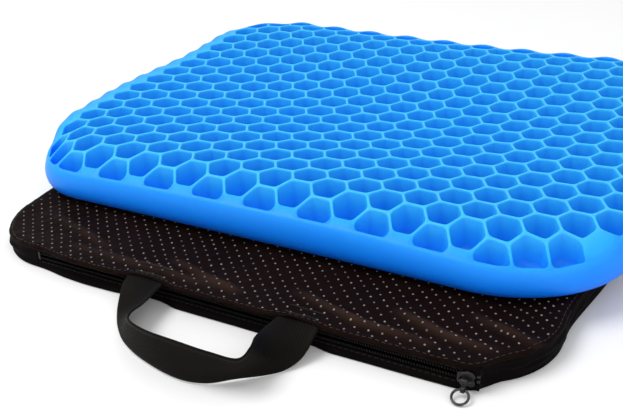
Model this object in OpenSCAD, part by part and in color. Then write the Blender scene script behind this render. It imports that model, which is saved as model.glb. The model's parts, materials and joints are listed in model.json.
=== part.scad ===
// Gel seat cushion with its zipped fabric cover.
// The moulded honeycomb pad lies on its own empty cover, set back from the cover's front edge.
// Origin: centre of the cover's underside. +X right, +Y back, +Z up; handle and zip face -Y.

/* [Gel pad] */
// Width of the pad, left to right
pad_w = 396; // [340:1:440]
// Depth of the pad, front to back
pad_d = 311; // [270:1:360]
// Height of the pad at its rim
pad_h = 32; // [28:1:40]
// Corner radius of the pad seen from above
pad_corner_r = 62; // [45:1:90]
// Rounding of the pad's outer edge, above and below
pad_edge_r = 10; // [6:0.5:12]
// Place of the pad's centre to the right of the cover's centre
pad_x = -2; // [-15:0.5:15]
// Place of the pad's centre behind the cover's centre
pad_y = 61.5; // [20:0.5:80]

/* [Honeycomb] */
// Distance between the centres of two touching cells
cell_pitch = 19.6; // [17:0.1:22]
// Thickness of the walls between cells
wall_t = 2.2; // [1.6:0.1:3]
// Solid rim left outside the cells
rim_w = 9; // [8:0.5:14]
// Depth of the cells in the upper face
upper_depth = 18; // [10:0.5:20]
// Thickness of the web that closes the cells at mid height
web_t = 2; // [1.5:0.1:4]
// Centre of one cell, left to right, from which the lattice is counted
lattice_x = -8.9; // [-12:0.1:12]
// Centre of the same cell, front to back
lattice_y = -27.5; // [-40:0.1:0]

/* [Cover] */
// Width of the cover
cover_w = 364; // [350:1:380]
// Depth of the cover
cover_d = 296; // [250:1:330]
// Height of the empty cover at its rim
cover_h = 15; // [15:0.5:18]
// Corner radius of the cover seen from above
cover_corner_r = 38; // [30:1:38]
// Thickness of the cover's fabric
fabric_t = 1.2; // [1:0.1:1.3]

/* [Zip] */
// Left end of the rows of teeth
zip_x0 = -133; // [-134:0.5:-110]
// Right end of the rows of teeth
zip_x1 = 143; // [120:0.5:143]
// Radius of one row of teeth
teeth_r = 1; // [0.9:0.05:1.05]
// Slit between the two rows, which the slider's post runs in
teeth_gap = 1.2; // [1.1:0.05:1.3]
// Length of the slider along the zip
slider_l = 9; // [8:0.5:11]
// Width of the slider across the zip
slider_w = 8.4; // [7:0.1:8.4]
// Radius of the pull ring, to the middle of its wire
ring_r = 4.1; // [4:0.1:4.5]
// Radius of the pull ring's wire
ring_wire_r = 0.65; // [0.5:0.05:0.7]
// Length of the pull tab between the middles of its two eyes
tab_l = 4; // [3.8:0.1:4.2]
// Slope of the pull tab below level
tab_slope = 70; // [60:1:72]

/* [Handle] */
// Width of the webbing
webbing_w = 25; // [22:1:25]
// Thickness of the webbing
webbing_t = 1.6; // [1.4:0.1:1.6]
// Distance between the middles of the two sewn ends
handle_span = 98; // [90:1:110]
// Place of the handle's middle to the right of the cover's centre
handle_x = -2; // [-20:0.5:20]

/* [Hidden] */
$fn = 64;

gel_blue = "DodgerBlue";
panel_black = "#2a2021";
band_black = "#1d191b";
tape_black = "#131214";
teeth_black = "#38363a";
metal_grey = "#6a6a70";
webbing_black = "#262124";
thread_black = "#0c0b0c";

running_gap = 0.3;      // clearance between pieces that move against each other
hinge_gap = 0.6;        // clearance that lets the webbing's root swing down past the band
overcut = 1;            // how far a cutter runs past the face that it opens

// Pad and honeycomb
pad_z = cover_h + running_gap;
column_step = cell_pitch * sqrt(3) / 2;
cell_r = (cell_pitch - wall_t) / sqrt(3);
cell_keep = cell_pitch * 0.4;        // a cell is cut if its centre lies this far inside the rim
half_columns = ceil(pad_w / column_step / 2) + 2;
cell_rows = ceil(pad_d / cell_pitch) + 2;
web_z = pad_h - upper_depth - web_t;

// Cover
front_y = -cover_d / 2;
band_back_y = front_y + fabric_t;
panel_z = cover_h - fabric_t;
zip_z = cover_h / 2;
row_offset = teeth_gap / 2 + teeth_r;
lip_gap = 0.4;          // between a row of teeth and the edge of the fabric over it
zip_opening = 2 * (row_offset + teeth_r + lip_gap);
strip_h = (cover_h - zip_opening) / 2 - fabric_t;

// Zip
teeth_proud = 0.1;      // how far the rows' middles stand in front of the tapes
teeth_y = band_back_y - teeth_proud;
tape_t = 0.8;
tape_w = 3;
tape_end = 0.5;         // how far the tapes run on past the stops
stop_l = 1.4;
strip_x0 = zip_x0 - stop_l;
strip_x1 = zip_x1 + stop_l;
tape_x0 = strip_x0 - tape_end;
tape_x1 = strip_x1 + tape_end;

// Slider, tab and ring; the ring's far side rests on the ground
stop_gap = 0.5;         // between the slider and the top stops
slider_x = zip_x1 - slider_l / 2 - stop_gap;
plate_t = 1.1;
plate_corner_r = 2;
plate_front_y = front_y - running_gap - plate_t;
plate_gap = 0.5;        // between the tapes and the plate behind them
plate_back_y = band_back_y + tape_t + plate_gap;
post_l = 2;
post_set_back = 1;      // from the slider's leading end to its post
post_t = teeth_gap - 2 * running_gap;
bar_r = 0.6;
bar_stand_off = 2.2;
bar_y = plate_front_y - bar_stand_off;
bar_l = 4.4;
bridge_foot_l = 1.2;
bar_eye_r = 1.6;
bar_eye_bore_r = 1;
bar_eye_l = 3.4;
ring_eye_r = 1.75;
ring_eye_bore_r = 1.15;
ring_eye_l = 2;
tab_web_t = 0.9;
ring_hinge_y = bar_y - tab_l * cos(tab_slope);
ring_hinge_z = zip_z - tab_l * sin(tab_slope);
ring_ground_gap = 0.05;
ring_slope = asin((ring_hinge_z - ring_wire_r - ring_ground_gap) / (2 * ring_r));

// Handle
seam_z = panel_z - webbing_t / 2;
webbing_y0 = front_y - hinge_gap;
sewn_l = 10;
stitch_l = 20;
stitch_w = 1.4;
stitch_h = 0.4;
stitch_inset = 1;

// Route of the webbing from its left end to its right, drawn for ends route_span apart. Each row
// has two points: on the edge inside the loop and on the edge outside it, as right of the
// handle's middle, in front of the seam, and up. The webbing leaves the seam flat, turns onto
// its outer edge as it comes down to the ground, and stands on that edge along the front.
route_span = 98;
route_steps = 3;        // sections drawn between two rows
route = [
    [[-36.5, 0, 13], [-61.5, 0, 13]],
    [[-36, 8, 13.4], [-61, 7, 11.2]],
    [[-35, 16, 14], [-58.5, 14, 6.5]],
    [[-34, 25, 15], [-54.5, 21.5, 2.5]],
    [[-31, 36, 19], [-46.5, 31, 1]],
    [[-24, 46, 22.5], [-34.5, 40.5, 0.8]],
    [[-9, 51.5, 24.5], [-17, 48, 0.6]],
    [[10, 53, 25], [6.5, 52.5, 0.4]],
    [[29, 53, 24.5], [22.5, 50, 0.5]],
    [[43.5, 50, 22.5], [35, 41, 1.2]],
    [[45, 40, 22], [46.5, 32, 1.5]],
    [[41.5, 29.5, 20], [54, 24, 2]],
    [[38.5, 19.5, 17], [59, 16, 4.5]],
    [[37, 9.5, 14.4], [61, 8, 9.5]],
    [[36.5, 0, 13], [61.5, 0, 13]],
];

// A rectangle with round corners, centred on the origin
module round_rect(w, d, r) {
    square([w - 2 * r, d], center = true);
    square([w, d - 2 * r], center = true);
    for (sx = [-1, 1], sy = [-1, 1])
        translate([sx * (w / 2 - r), sy * (d / 2 - r)]) circle(r);
}

// Section of the pad's edge: flat above and below, with both outer edges round
module edge_profile(reach) {
    square([reach - pad_edge_r, pad_h]);
    translate([0, pad_edge_r]) square([reach, pad_h - 2 * pad_edge_r]);
    for (z = [pad_edge_r, pad_h - pad_edge_r])
        translate([reach - pad_edge_r, z]) circle(pad_edge_r);
}

// The pad before its cells are cut: a core, four straight edges and four turned corners
module pad_blank() {
    flat_w = pad_w - 2 * pad_corner_r;
    flat_d = pad_d - 2 * pad_corner_r;
    translate([-flat_w / 2, -flat_d / 2, 0]) cube([flat_w, flat_d, pad_h]);
    for (side = [-1, 1]) {
        translate([side * flat_w / 2, side * flat_d / 2, 0]) rotate([90, 0, 90 - 90 * side])
            linear_extrude(flat_d) edge_profile(pad_corner_r);
        translate([-side * flat_w / 2, side * flat_d / 2, 0]) rotate([90, 0, 90 * side])
            linear_extrude(flat_w) edge_profile(pad_corner_r);
    }
    for (turn = [0, 90, 180, 270]) {
        sx = turn == 0 || turn == 270 ? 1 : -1;
        sy = turn < 180 ? 1 : -1;
        translate([sx * flat_w / 2, sy * flat_d / 2, 0]) rotate(turn)
            rotate_extrude(angle = 90) edge_profile(pad_corner_r);
    }
}

// How far a point lies inside the pad's outline, measured from the pad's centre
function depth_inside(x, y) =
    let (ax = abs(x) - pad_w / 2 + pad_corner_r, ay = abs(y) - pad_d / 2 + pad_corner_r)
    pad_corner_r - (ax > 0 && ay > 0 ? norm([ax, ay]) : max(ax, ay));

// All cells, seen from above; the rim cuts the outermost ones short
module cells() {
    intersection() {
        round_rect(pad_w - 2 * rim_w, pad_d - 2 * rim_w, pad_corner_r - rim_w);
        for (column = [-half_columns : half_columns], row = [-cell_rows : cell_rows]) {
            x = lattice_x - pad_x + column * column_step;
            y = lattice_y - pad_y + (row + (column % 2 == 0 ? 0 : 0.5)) * cell_pitch;
            if (depth_inside(x, y) > rim_w + cell_keep)
                translate([x, y]) circle(cell_r, $fn = 6);
        }
    }
}

module gel_pad() {
    color(gel_blue) translate([pad_x, pad_y, pad_z]) difference() {
        pad_blank();
        translate([0, 0, web_z + web_t]) linear_extrude(upper_depth + overcut) cells();
        translate([0, 0, -overcut]) linear_extrude(web_z + overcut) cells();
    }
}

module cover_outline() {
    round_rect(cover_w, cover_d, cover_corner_r);
}

module bottom_panel() {
    color(panel_black) linear_extrude(fabric_t) cover_outline();
}

module top_panel() {
    color(panel_black) translate([0, 0, panel_z]) linear_extrude(fabric_t) cover_outline();
}

// The band round the left, back and right, which ends at both ends of the zip
module side_band() {
    color(band_black) translate([0, 0, fabric_t]) linear_extrude(panel_z - fabric_t) difference() {
        cover_outline();
        round_rect(cover_w - 2 * fabric_t, cover_d - 2 * fabric_t, cover_corner_r - fabric_t);
        translate([strip_x0, front_y - overcut])
            square([strip_x1 - strip_x0, fabric_t + 2 * overcut]);
    }
}

module zip_strip(z) {
    color(band_black) translate([strip_x0, front_y, z])
        cube([strip_x1 - strip_x0, fabric_t, strip_h]);
}

// A round bar along X from x0 to x1
module bar_x(x0, x1, y, z, r) {
    translate([x0, y, z]) rotate([0, 90, 0]) cylinder(h = x1 - x0, r = r);
}

// The zip's pieces come in mirrored pairs: side is 1 above the slit and -1 below it
module zipper_tape(side) {
    z = zip_z + side * row_offset;
    color(tape_black) difference() {
        translate([tape_x0, band_back_y, side > 0 ? z : z - tape_w])
            cube([tape_x1 - tape_x0, tape_t, tape_w]);
        bar_x(tape_x0 - overcut, tape_x1 + overcut, teeth_y, z, teeth_r);
    }
}

module zipper_teeth(side) {
    color(teeth_black) bar_x(zip_x0, zip_x1, teeth_y, zip_z + side * row_offset, teeth_r);
}

module zipper_top_stops() {
    color(metal_grey) for (side = [-1, 1])
        bar_x(zip_x1, strip_x1, teeth_y, zip_z + side * row_offset, teeth_r);
}

module zipper_bottom_stop() {
    stop_h = 2 * (row_offset + teeth_r);
    color(metal_grey) translate([strip_x0, front_y, zip_z - stop_h / 2])
        cube([stop_l, fabric_t, stop_h]);
}

// Two plates, one each side of the teeth, joined by the post that runs in the slit
module slider_body() {
    post_x = slider_x + slider_l / 2 - post_l - post_set_back;
    color(metal_grey) {
        for (y = [plate_front_y, plate_back_y])
            translate([slider_x, y + plate_t, zip_z]) rotate([90, 0, 0])
                linear_extrude(plate_t) round_rect(slider_l, slider_w, plate_corner_r);
        translate([post_x, plate_front_y + plate_t, zip_z - post_t / 2])
            cube([post_l, plate_back_y - plate_front_y - plate_t, post_t]);
    }
}

// The bar on the slider that the pull tab hangs from, on two feet
module slider_bridge() {
    color(metal_grey) {
        bar_x(slider_x - bar_l / 2, slider_x + bar_l / 2, bar_y, zip_z, bar_r);
        for (side = [-1, 1])
            translate([slider_x + side * (bar_l + bridge_foot_l) / 2 - bridge_foot_l / 2,
                       bar_y - bar_r, zip_z - bar_r])
                cube([bridge_foot_l, bar_stand_off + bar_r, 2 * bar_r]);
    }
}

// A stamped tab rolled into an eye at each end: one round the bar, one round the ring
module pull_tab() {
    color(metal_grey) translate([slider_x, bar_y, zip_z]) rotate([tab_slope, 0, 0]) difference() {
        union() {
            bar_x(-bar_eye_l / 2, bar_eye_l / 2, 0, 0, bar_eye_r);
            bar_x(-ring_eye_l / 2, ring_eye_l / 2, -tab_l, 0, ring_eye_r);
            translate([-ring_eye_l / 2, -tab_l, -tab_web_t / 2])
                cube([ring_eye_l, tab_l, tab_web_t]);
        }
        bar_x(-bar_eye_l, bar_eye_l, 0, 0, bar_eye_bore_r);
        bar_x(-ring_eye_l, ring_eye_l, -tab_l, 0, ring_eye_bore_r);
    }
}

module pull_ring() {
    color(metal_grey) translate([slider_x, ring_hinge_y, ring_hinge_z]) rotate([ring_slope, 0, 0])
        translate([0, -ring_r, 0]) rotate_extrude() translate([ring_r, 0]) circle(ring_wire_r);
}

// A smooth curve through the route's points, along its inner edge (0) or its outer edge (1)
function row_point(i, edge) = route[max(0, min(len(route) - 1, i))][edge];
function curve(a, b, c, d, t) =
    b + (c - a) * t / 2 + (2 * a - 5 * b + 4 * c - d) * t * t / 2
      + (3 * b - a - 3 * c + d) * t * t * t / 2;
function edge_at(s, edge) =
    let (i = min(floor(s), len(route) - 2),
         p = curve(row_point(i - 1, edge), row_point(i, edge), row_point(i + 1, edge),
                   row_point(i + 2, edge), s - i))
    [p[0] * handle_span / route_span, webbing_y0 - p[1], p[2]];
function middle_at(s) = (edge_at(s, 0) + edge_at(s, 1)) / 2;
function unit(v) = v / norm(v);

// The four corners of the webbing's section, s rows along the route
function section_at(s) =
    let (last = len(route) - 1, reach = 0.1,
         across = unit(edge_at(s, 0) - edge_at(s, 1)),
         along = middle_at(min(s + reach, last)) - middle_at(max(s - reach, 0)),
         through = unit(cross(across, along)))
    [for (k = [[-1, -1], [1, -1], [1, 1], [-1, 1]])
        middle_at(s) + across * k[0] * webbing_w / 2 + through * k[1] * webbing_t / 2];

module handle_webbing() {
    last = (len(route) - 1) * route_steps;
    points = [for (i = [0 : last], p = section_at(i / route_steps)) p];
    walls = [for (i = [0 : last - 1], k = [0 : 3])
        let (a = 4 * i + k, b = 4 * i + (k + 1) % 4)
        each [[a, b, b + 4], [a, b + 4, a + 4]]];
    ends = [[3, 2, 1, 0], [for (k = [0 : 3]) 4 * last + k]];
    color(webbing_black) translate([handle_x, 0, 0]) polyhedron(points, concat(walls, ends));
}

// An end of the webbing, sewn in under the top panel
module handle_end(side) {
    color(webbing_black)
        translate([handle_x + side * handle_span / 2 - webbing_w / 2, band_back_y,
                   panel_z - webbing_t])
            cube([webbing_w, sewn_l, webbing_t]);
}

// Two bars of dense stitching over each sewn end
module handle_stitching() {
    color(thread_black) for (side = [-1, 1], y = [stitch_inset, sewn_l - stitch_inset - stitch_w])
        translate([handle_x + side * handle_span / 2 - stitch_l / 2, band_back_y + y, cover_h])
            cube([stitch_l, stitch_w, stitch_h]);
}

gel_pad();
top_panel();
bottom_panel();
side_band();
zip_strip(panel_z - strip_h);  // zip_band_upper
zip_strip(fabric_t);  // zip_band_lower
zipper_tape(1);  // zipper_tape_upper
zipper_tape(-1);  // zipper_tape_lower
zipper_teeth(1);  // zipper_teeth_upper
zipper_teeth(-1);  // zipper_teeth_lower
zipper_top_stops();
zipper_bottom_stop();
slider_body();
slider_bridge();
pull_tab();
pull_ring();
handle_webbing();
handle_end(-1);  // handle_end_left
handle_end(1);  // handle_end_right
handle_stitching();
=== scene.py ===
"""Looks of the gel seat cushion and its zipped cover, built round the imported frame.

Every length is in metres, in the row frame: origin at the centre of the cover's underside,
+X right, +Y back, +Z up. Sizes written as 12 * MM are millimetres.
"""
import json
import math

import bmesh
import bpy
import numpy as np
from mathutils import Matrix, Vector
from mathutils.geometry import delaunay_2d_cdt


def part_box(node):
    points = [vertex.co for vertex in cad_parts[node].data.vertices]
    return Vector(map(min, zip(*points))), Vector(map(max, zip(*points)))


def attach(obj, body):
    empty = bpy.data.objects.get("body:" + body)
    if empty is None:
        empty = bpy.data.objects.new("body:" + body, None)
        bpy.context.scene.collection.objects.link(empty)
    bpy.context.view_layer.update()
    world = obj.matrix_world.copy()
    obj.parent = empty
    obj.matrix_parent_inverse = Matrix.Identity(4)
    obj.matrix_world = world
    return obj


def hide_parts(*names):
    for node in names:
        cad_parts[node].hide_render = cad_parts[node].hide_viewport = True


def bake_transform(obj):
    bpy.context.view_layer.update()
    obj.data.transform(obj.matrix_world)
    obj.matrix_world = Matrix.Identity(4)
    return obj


MM = 0.001
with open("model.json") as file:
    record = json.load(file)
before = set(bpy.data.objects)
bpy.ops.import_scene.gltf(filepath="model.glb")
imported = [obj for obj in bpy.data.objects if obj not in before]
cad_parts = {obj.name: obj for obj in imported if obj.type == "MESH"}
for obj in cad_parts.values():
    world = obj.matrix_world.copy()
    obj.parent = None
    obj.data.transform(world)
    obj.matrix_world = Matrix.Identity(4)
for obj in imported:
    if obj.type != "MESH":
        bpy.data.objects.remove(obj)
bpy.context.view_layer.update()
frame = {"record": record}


# ---------------------------------------------------------------- helpers

def node_box(node):
    """Lowest corner, highest corner and centre of a CAD node."""
    low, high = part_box(node)
    return low, high, (low + high) / 2


def smoothstep(t):
    """Eases from 0 to 1 as t goes from 0 to 1. Takes a number or an array."""
    t = np.clip(t, 0, 1)
    return t * t * (3 - 2 * t)


def strip(a, b, n):
    """Quads between two closed rings of n points, the first starting at a and the second at b."""
    return [(a + k, a + (k + 1) % n, b + (k + 1) % n, b + k) for k in range(n)]


def unit(rows):
    """Each row of an array, scaled to length 1."""
    return rows / np.linalg.norm(rows, axis=1)[:, None]


def distances(line):
    """How far along a line of points each point lies."""
    return np.concatenate(([0], np.cumsum(np.linalg.norm(np.diff(line, axis=0), axis=1))))


def vertices(obj):
    """An object's vertices as an array."""
    return np.array([v.co for v in obj.data.vertices])


def make_object(name, points, faces, material, smooth=True):
    """A mesh object from lists of points and faces, with outward normals."""
    mesh = bpy.data.meshes.new(name)
    mesh.from_pydata([tuple(p) for p in points], [], faces)
    mesh.validate()
    obj = bpy.data.objects.new(name, mesh)
    bpy.context.scene.collection.objects.link(obj)
    work = bmesh.new()
    work.from_mesh(mesh)
    bmesh.ops.remove_doubles(work, verts=work.verts, dist=1e-6)
    bmesh.ops.recalc_face_normals(work, faces=work.faces)
    work.to_mesh(mesh)
    work.free()
    mesh.polygons.foreach_set("use_smooth", [smooth] * len(mesh.polygons))
    mesh.materials.append(material)
    return obj


def add_tube(points, faces, path, radii, sides, closed=False):
    """Adds a round tube along a path, with one radius for each point of the path."""
    path = [Vector(p) for p in path]
    n = len(path)
    first = len(points)
    across = None
    for i, p in enumerate(path):
        before = path[i - 1] if closed or i else p
        after = path[(i + 1) % n] if closed or i + 1 < n else p
        ahead = (after - before).normalized()
        if across is None:
            across = ahead.orthogonal().normalized()
        across = (across - ahead * across.dot(ahead)).normalized()
        up = ahead.cross(across)
        for k in range(sides):
            a = 2 * math.pi * k / sides
            points.append(p + radii[i] * (math.cos(a) * across + math.sin(a) * up))
    for i in range(n if closed else n - 1):
        faces += strip(first + i * sides, first + (i + 1) % n * sides, sides)
    if not closed:
        faces.append(tuple(range(first, first + sides)))
        faces.append(tuple(range(first + (n - 1) * sides, first + n * sides)))


def add_stitch(points, faces, start, end, radius):
    """Adds one short stitch with rounded ends."""
    start, end = Vector(start), Vector(end)
    path = [start.lerp(end, t) for t in (0, 0.12, 0.88, 1)]
    add_tube(points, faces, path, [0.35 * radius, radius, radius, 0.35 * radius], 5)


def add_rings(points, faces, rings, closed=False):
    """Joins equally long closed rings of points one after the other. Open runs get end caps."""
    n = len(rings[0])
    first = len(points)
    for ring in rings:
        points += [tuple(p) for p in ring]
    for i in range(len(rings) if closed else len(rings) - 1):
        faces += strip(first + i * n, first + (i + 1) % len(rings) * n, n)
    if not closed:
        faces.append(tuple(range(first, first + n)))
        faces.append(tuple(range(first + (len(rings) - 1) * n, first + len(rings) * n)))


def waves(x, y, size, seed):
    """Soft irregular waves about as long as size, from -1 to 1."""
    rng = np.random.default_rng(seed)
    total = 0
    for turn, stretch, phase in zip(rng.uniform(0, math.pi, 7), rng.uniform(0.75, 1.5, 7),
                                    rng.uniform(0, 2 * math.pi, 7)):
        total = total + np.sin(2 * math.pi * stretch / size
                               * (x * math.cos(turn) + y * math.sin(turn)) + phase)
    return total / 4


def triangulated(flat, loops, bow=0.02):
    """Triangles between flat points, inside the first loop, each with the loops that it lies in.

    The points are bowed outward while it works, so that no side is quite straight and every
    point on it stays in the border.
    """
    reach = max(max(abs(p.x), abs(p.y)) for p in flat)
    bowed = [Vector((p.x * (1 + bow * (1 - (p.y / reach) ** 2)),
                     p.y * (1 + bow * (1 - (p.x / reach) ** 2)))) for p in flat]
    made = delaunay_2d_cdt(bowed, [], loops, 1, 1e-9, True)
    source = [origins[0] for origins in made[3]]
    return [(tuple(source[k] for k in face), owners) for face, owners in zip(made[2], made[5])]


def set_point_attribute(obj, name, values):
    """Stores one number at each vertex, for a material to read."""
    attribute = obj.data.attributes.new(name, "FLOAT", "POINT")
    attribute.data.foreach_set("value", np.asarray(values, np.float32))


def smooth_by_angle(obj, limit=math.radians(35)):
    """Shades smoothly except across edges sharper than the limit."""
    work = bmesh.new()
    work.from_mesh(obj.data)
    for face in work.faces:
        face.smooth = True
    for edge in work.edges:
        edge.smooth = edge.calc_face_angle(math.pi) < limit
    work.to_mesh(obj.data)
    work.free()


# ---------------------------------------------------------------- materials

class Shader:
    """Small helper that lays out nodes round one Principled shader."""

    def __init__(self, name, **inputs):
        self.material = bpy.data.materials.new(name)
        self.material.use_nodes = True
        self.tree = self.material.node_tree
        self.principled = self.tree.nodes["Principled BSDF"]
        for key, value in inputs.items():
            self.principled.inputs[key.replace("_", " ")].default_value = value

    def node(self, kind, **settings):
        """Adds a node and sets its properties or its inputs by name."""
        made = self.tree.nodes.new(kind)
        for key, value in settings.items():
            if hasattr(made, key):
                setattr(made, key, value)
            else:
                made.inputs[key.replace("_", " ")].default_value = value
        return made

    def link(self, source, target):
        self.tree.links.new(source, target)

    def ramp(self, factor, stops):
        """A colour ramp over a factor, with stops as (place, colour)."""
        ramp = self.node("ShaderNodeValToRGB")
        elements = ramp.color_ramp.elements
        while len(elements) < len(stops):
            elements.new(0.5)
        for element, (place, colour) in zip(elements, stops):
            element.position = place
            element.color = (*colour, 1)
        self.link(factor, ramp.inputs["Fac"])
        return ramp.outputs["Color"]

    def mix(self, factor, a, b, blend="MIX"):
        """Mixes two colours. Each may be a socket or a colour."""
        made = self.node("ShaderNodeMix", data_type="RGBA", blend_type=blend)
        for socket, value in ((made.inputs[0], factor), (made.inputs[6], a), (made.inputs[7], b)):
            if isinstance(value, bpy.types.NodeSocket):
                self.link(value, socket)
            elif isinstance(value, tuple):
                socket.default_value = (*value, 1)
            else:
                socket.default_value = value
        return made.outputs[2]

    def maths(self, operation, a, b=0.0, c=0.0):
        """A sum or function of up to three values. Each may be a socket or a number."""
        made = self.node("ShaderNodeMath", operation=operation)
        for socket, value in zip(made.inputs, (a, b, c)):
            if isinstance(value, bpy.types.NodeSocket):
                self.link(value, socket)
            else:
                socket.default_value = value
        return made.outputs[0]

    def place(self, scale=(1, 1, 1), turn=0.0):
        """Object coordinates, scaled and turned about Z."""
        source = self.node("ShaderNodeTexCoord").outputs["Object"]
        mapping = self.node("ShaderNodeMapping")
        mapping.inputs["Scale"].default_value = scale
        mapping.inputs["Rotation"].default_value = (0, 0, turn)
        self.link(source, mapping.inputs["Vector"])
        return mapping.outputs["Vector"]

    def noise(self, vector, scale, detail=2.0, roughness=0.5):
        """Cloudy noise, from 0 to 1."""
        made = self.node("ShaderNodeTexNoise")
        made.inputs["Scale"].default_value = scale
        made.inputs["Detail"].default_value = detail
        made.inputs["Roughness"].default_value = roughness
        self.link(vector, made.inputs["Vector"])
        return made.outputs["Fac"]

    def bump(self, height, distance, strength=1.0):
        """Fine relief from a height socket."""
        made = self.node("ShaderNodeBump")
        made.inputs["Distance"].default_value = distance
        made.inputs["Strength"].default_value = strength
        self.link(height, made.inputs["Height"])
        self.link(made.outputs["Normal"], self.principled.inputs["Normal"])

    def colour(self, socket):
        """Sets the base colour."""
        self.link(socket, self.principled.inputs["Base Color"])

    def roughness(self, factor, span, least):
        """Roughness that rises by span over least as the factor goes from 0 to 1."""
        self.link(self.maths("MULTIPLY_ADD", factor, span, least),
                  self.principled.inputs["Roughness"])


def gel_material():
    """Soft translucent blue gel. The blue is its own, and painted light and shade make it pale on the
    walls' lit tops and deeper inside the cells and low on the rim.
    """
    s = Shader("gel", Roughness=0.42, IOR=1.42, Subsurface_Weight=0.5, Subsurface_Scale=0.008,
               Specular_IOR_Level=0.25)
    s.principled.inputs["Subsurface Radius"].default_value = (0.15, 0.5, 1.0)
    height = s.node("ShaderNodeAttribute", attribute_name="gel_painted_light_shade").outputs["Fac"]
    # Painted light and shade: the ramp runs from shaded deep blue at the foot up to pale lit blue on
    # the walls' tops.
    depth = s.ramp(height, [(0.0, (0.002, 0.13, 0.90)), (0.3, (0.004, 0.24, 0.99)),
                            (0.6, (0.012, 0.31, 0.93)), (0.68, (0.016, 0.36, 0.92)),
                            (0.85, (0.022, 0.41, 0.88)), (0.97, (0.035, 0.44, 0.90)),
                            (1.0, (0.045, 0.47, 0.92))])
    cloudy = s.noise(s.place(), 60, 3)
    s.colour(s.mix(s.maths("MULTIPLY", cloudy, 0.12), depth, (0.0, 0.2, 0.85)))
    grain = s.noise(s.place(), 900, 2)
    s.roughness(cloudy, 0.14, 0.36)
    s.bump(grain, 0.00012, 0.5)
    return s.material


def woven(s, thread, distance, turn=0.0):
    """A plain weave: two sets of threads that pass over each other, as bump."""
    at = s.place((1, 1, 1), turn)
    parts = s.node("ShaderNodeSeparateXYZ")
    s.link(at, parts.inputs[0])
    rate = 2 * math.pi / thread
    along = s.maths("SINE", s.maths("MULTIPLY", parts.outputs["X"], rate))
    across = s.maths("SINE", s.maths("MULTIPLY", parts.outputs["Y"], rate))
    cloth = s.maths("MULTIPLY", along, across)
    fuzz = s.noise(s.place(), 2600, 3, 0.65)
    s.bump(s.maths("MULTIPLY_ADD", fuzz, 1.6, s.maths("MULTIPLY", cloth, 0.5)), distance, 0.8)


def cover_fabric():
    """Black knitted fabric with a warm cast, and a brown painted highlight along its creases."""
    s = Shader("cover_fabric", Roughness=0.6, Specular_IOR_Level=0.05, Sheen_Weight=0.015,
               Sheen_Roughness=0.35)
    s.principled.inputs["Specular Tint"].default_value = (1, 0.62, 0.5, 1)
    s.principled.inputs["Sheen Tint"].default_value = (0.75, 0.48, 0.38, 1)
    cloud = s.noise(s.place(), 26, 4, 0.6)
    fleck = s.noise(s.place((1, 1.6, 1)), 900, 3, 0.7)
    base = s.ramp(cloud, [(0.3, (0.0022, 0.0006, 0.0007)), (0.7, (0.0055, 0.0022, 0.0018))])
    fold_highlight = s.node("ShaderNodeAttribute", attribute_name="crease").outputs["Fac"]
    # Painted highlight: brown along the creases' ridges stands for the light they catch.
    with_fold_highlight = s.mix(s.maths("MULTIPLY", fold_highlight, cloud), base, (0.058, 0.031, 0.022))
    s.colour(s.mix(s.maths("MULTIPLY", fleck, 0.3), with_fold_highlight, (0.010, 0.0052, 0.0040)))
    s.roughness(fleck, 0.2, 0.48)
    woven(s, 0.9 * MM, 0.00016)
    return s.material


def band_fabric():
    """The plainer black fabric of the sides and the underside, streaked along its length."""
    s = Shader("band_fabric", Roughness=0.62, Specular_IOR_Level=0.03, Sheen_Weight=0.006,
               Sheen_Roughness=0.4)
    s.principled.inputs["Sheen Tint"].default_value = (0.8, 0.7, 0.68, 1)
    streak = s.noise(s.place((28, 28, 900)), 1, 4, 0.6)
    fleck = s.noise(s.place(), 1100, 3, 0.7)
    base = s.ramp(streak, [(0.35, (0.0012, 0.0008, 0.0008)), (0.7, (0.004, 0.0026, 0.0025))])
    s.colour(s.mix(s.maths("MULTIPLY", fleck, 0.3), base, (0.006, 0.0045, 0.0045)))
    s.roughness(fleck, 0.2, 0.6)
    woven(s, 0.8 * MM, 0.00012, math.radians(45))
    return s.material


def dot_material():
    """Pale silicone of the grip dots, greyed by dust."""
    s = Shader("grip_silicone", Roughness=0.4, Specular_IOR_Level=0.5, IOR=1.41)
    dust = s.noise(s.place(), 130, 3)
    s.colour(s.ramp(dust, [(0.36, (0.05, 0.04, 0.036)), (0.64, (0.24, 0.21, 0.19))]))
    s.roughness(dust, 0.2, 0.25)
    s.bump(s.noise(s.place(), 3000, 2), 0.00004)
    return s.material


def tape_material():
    """Ribbed black polyester tape of the zip."""
    s = Shader("zip_tape", Roughness=0.8, Specular_IOR_Level=0.08, Sheen_Weight=0.01)
    rib = s.noise(s.place((1700, 500, 500)), 1, 2)
    s.colour(s.ramp(rib, [(0.3, (0.0015, 0.0013, 0.0014)), (0.7, (0.005, 0.0046, 0.005))]))
    s.roughness(rib, 0.2, 0.65)
    s.bump(rib, 0.0001)
    return s.material


def coil_material():
    """Dark nylon of the zip's coils, polished by use along its crests."""
    s = Shader("zip_nylon", Roughness=0.4, Specular_IOR_Level=0.2, IOR=1.5)
    rub = s.noise(s.place((60, 300, 300)), 1, 3)
    s.colour(s.ramp(rub, [(0.3, (0.002, 0.0018, 0.002)), (0.75, (0.009, 0.008, 0.009))]))
    s.roughness(rub, 0.25, 0.22)
    s.bump(s.noise(s.place(), 2200, 2), 0.00003)
    return s.material


def metal_material(name, dark, pale, roughness, metallic):
    """Plated or painted metal with faint scratches and a patchy shine."""
    s = Shader(name, Metallic=metallic, Roughness=roughness, Specular_IOR_Level=0.5)
    patch = s.noise(s.place(), 420, 4, 0.6)
    scratch = s.noise(s.place((2600, 260, 900)), 1, 3, 0.7)
    s.colour(s.ramp(patch, [(0.35, dark), (0.7, pale)]))
    s.roughness(scratch, 0.25, roughness - 0.1)
    s.bump(scratch, 0.00003, 0.5)
    return s.material


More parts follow.
